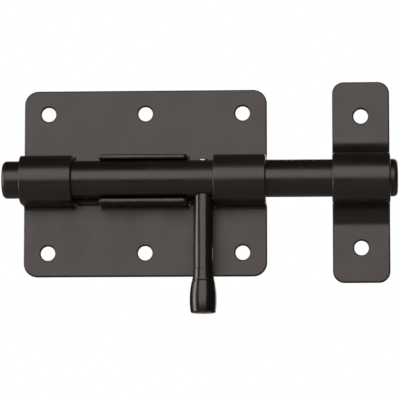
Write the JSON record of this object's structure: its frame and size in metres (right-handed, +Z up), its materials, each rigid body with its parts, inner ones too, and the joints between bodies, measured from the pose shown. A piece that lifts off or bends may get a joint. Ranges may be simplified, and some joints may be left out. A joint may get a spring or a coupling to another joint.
{
  "type": "slide bolt latch",
  "caption": "Round-bar slide bolt on a folded sheet plate, with a turned drop handle that locks between lips and loop, and a folded keeper.",
  "frame": {"origin": "on the mounting plane (the plate's back face), midway between the latch plate's four corner screw holes and level with the bar's axis", "axes": "+X along the bar towards the keeper, +Y into the door, +Z up; the bar and handle stand out on the -Y side"},
  "size_m": [0.1684, 0.0261, 0.1008],
  "materials": {
    "black_coat_sheet": "satin black-brown powder coat on sheet steel",
    "black_coat_bar": "semi-gloss black-brown coat on turned steel",
    "bare_steel": "cut and cleaned steel thread end"
  },
  "bodies": {
    "plate_and_keeper": {"latch_plate": "black_coat_sheet", "backing_strip": "black_coat_sheet", "keeper": "black_coat_sheet"},
    "bolt": {"bolt_bar": "black_coat_bar", "handle_stud": "bare_steel"},
    "handle": {"stud_end": "bare_steel", "handle_stem": "black_coat_bar", "handle_knob": "black_coat_bar"}
  },
  "joints": [
    {"name": "bolt_slide", "type": "slide", "parent": "plate_and_keeper", "child": "bolt", "axis": [1, 0, 0], "range_m": [-0.0024, 0.0001]},
    {"name": "handle_turn", "type": "hinge", "parent": "bolt", "child": "handle", "pos_m": [0.02575, -0.0154, 0], "axis": [-1, 0, 0], "range_deg": [-8, 188]}
  ]
}
